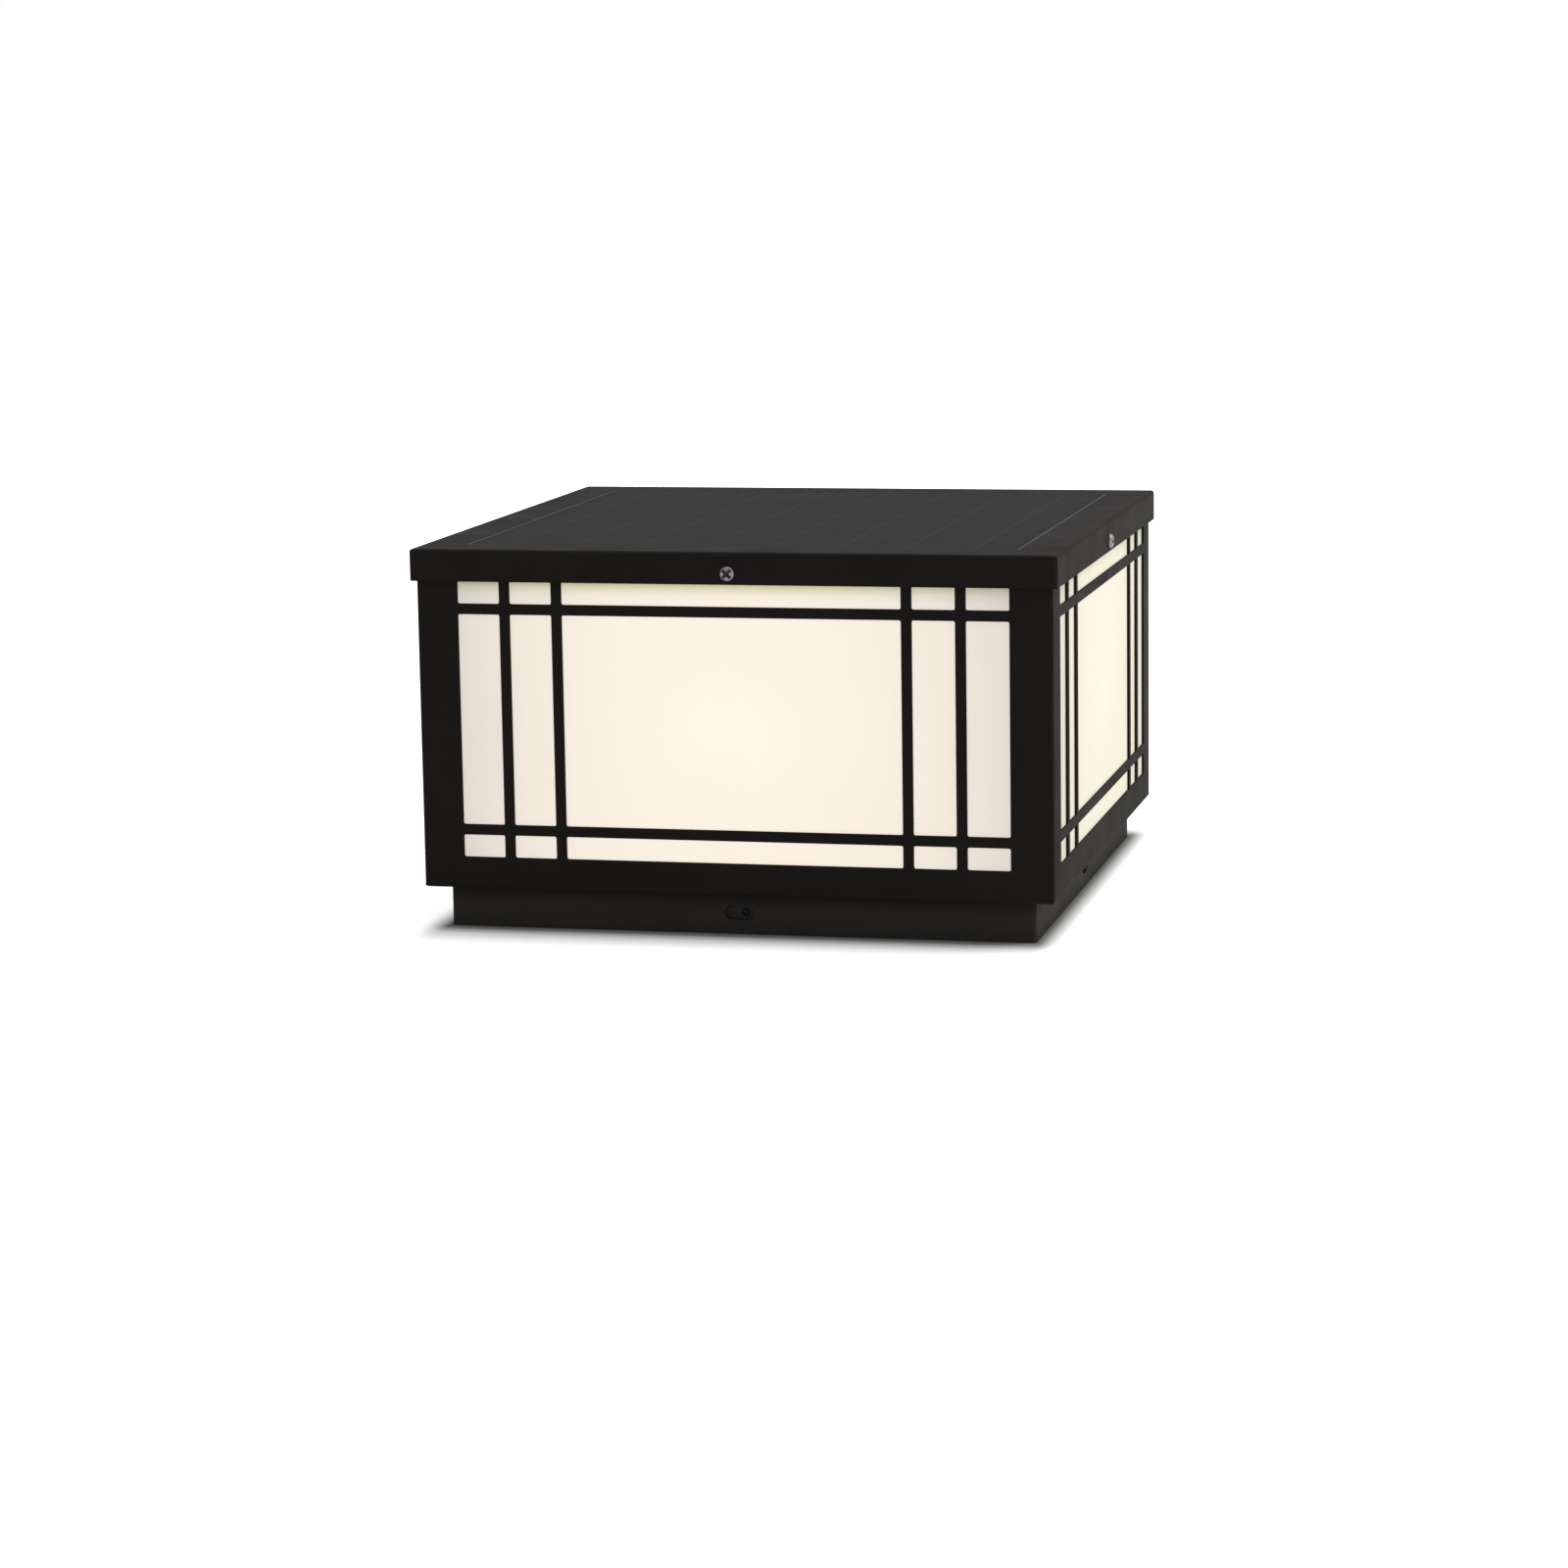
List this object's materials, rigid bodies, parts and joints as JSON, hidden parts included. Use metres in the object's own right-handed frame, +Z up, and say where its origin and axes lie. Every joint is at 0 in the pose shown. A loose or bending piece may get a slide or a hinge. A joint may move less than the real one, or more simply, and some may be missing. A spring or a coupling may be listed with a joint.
{
  "type": "solar cube light",
  "caption": "Square solar light for a wall, post or pillar top: lattice windows over opal sheets, a flat lid with a solar panel, and a recessed plinth.",
  "frame": {"origin": "middle of the footprint, on the surface that the plinth stands on", "axes": "+Z up, -Y towards the front side, +X towards the right side; all four sides are alike"},
  "size_m": [0.3094, 0.3094, 0.18],
  "materials": {
    "black_powder_coat": "fine matt texture",
    "black_oxide": "black oxide",
    "white_coated_steel": "satin",
    "zinc_plated": "satin",
    "stainless_steel": "polished",
    "aluminium": "satin",
    "opal_acrylic": "satin, lit from behind",
    "black_rubber": "matt",
    "nylon": "matt",
    "black_moulding": "fine grain",
    "panel_backboard": "matt",
    "panel_cells": "dark monocrystalline",
    "panel_front": "frosted film",
    "circuit_board": "satin",
    "white_circuit_board": "white solder mask",
    "board_parts": "matt",
    "light_chip": "yellow phosphor",
    "cell_sleeve": "shrink sleeve",
    "nickel": "satin",
    "lead_insulation": "satin",
    "switch_metal": "satin",
    "switch_red": "satin"
  },
  "bodies": {
    "lamp_body": {"base_tray": "black_powder_coat", "tray_rivet_nuts": "black_oxide", "grub_screws": "black_oxide", "plinth_collar": "black_powder_coat", "floor_pan": "white_coated_steel", "floor_rivets": "aluminium", "side_panel_front": "black_powder_coat", "side_panel_right": "black_powder_coat", "side_panel_back": "black_powder_coat", "side_panel_left": "black_powder_coat", "panel_studs": "zinc_plated", "stud_nuts": "zinc_plated", "diffuser_front": "opal_acrylic", "diffuser_right": "opal_acrylic", "diffuser_back": "opal_acrylic", "diffuser_left": "opal_acrylic", "corner_angle_front_left": "aluminium", "corner_angle_front_right": "aluminium", "corner_angle_back_right": "aluminium", "corner_angle_back_left": "aluminium"},
    "lid": {"lid_tray": "black_powder_coat", "lid_screws": "stainless_steel", "lid_spacers": "nylon", "lid_nuts": "zinc_plated", "lid_gasket": "black_rubber", "panel_sealant": "black_rubber", "solar_backboard": "panel_backboard", "solar_cells": "panel_cells", "solar_front_sheet": "panel_front", "lead_grommet": "black_rubber", "panel_leads": "lead_insulation", "battery_box": "black_moulding", "box_studs": "zinc_plated", "box_nuts": "zinc_plated", "box_seal": "black_rubber", "box_cover": "black_moulding", "cover_screws": "zinc_plated", "battery_cells": "cell_sleeve", "cell_cradle": "black_moulding", "cell_contacts": "nickel", "controller_board": "circuit_board", "board_screws": "zinc_plated", "controller_parts": "board_parts", "lamp_core": "aluminium", "core_screws": "zinc_plated", "light_boards": "white_circuit_board", "light_board_screws": "zinc_plated", "light_chips": "light_chip", "core_cap": "black_moulding", "switch_body": "switch_metal", "switch_nut": "zinc_plated", "switch_leads": "lead_insulation"},
    "button": {"switch_button": "switch_red"}
  },
  "joints": [
    {"name": "lid_lift", "type": "slide", "parent": "lamp_body", "child": "lid", "axis": [0, 0, 1], "range_m": [0, 0.125]},
    {"name": "switch_press", "type": "slide", "parent": "lid", "child": "button", "axis": [0, 0, 1], "range_m": [0, 0.002], "stiffness_N_per_m": 900}
  ]
}
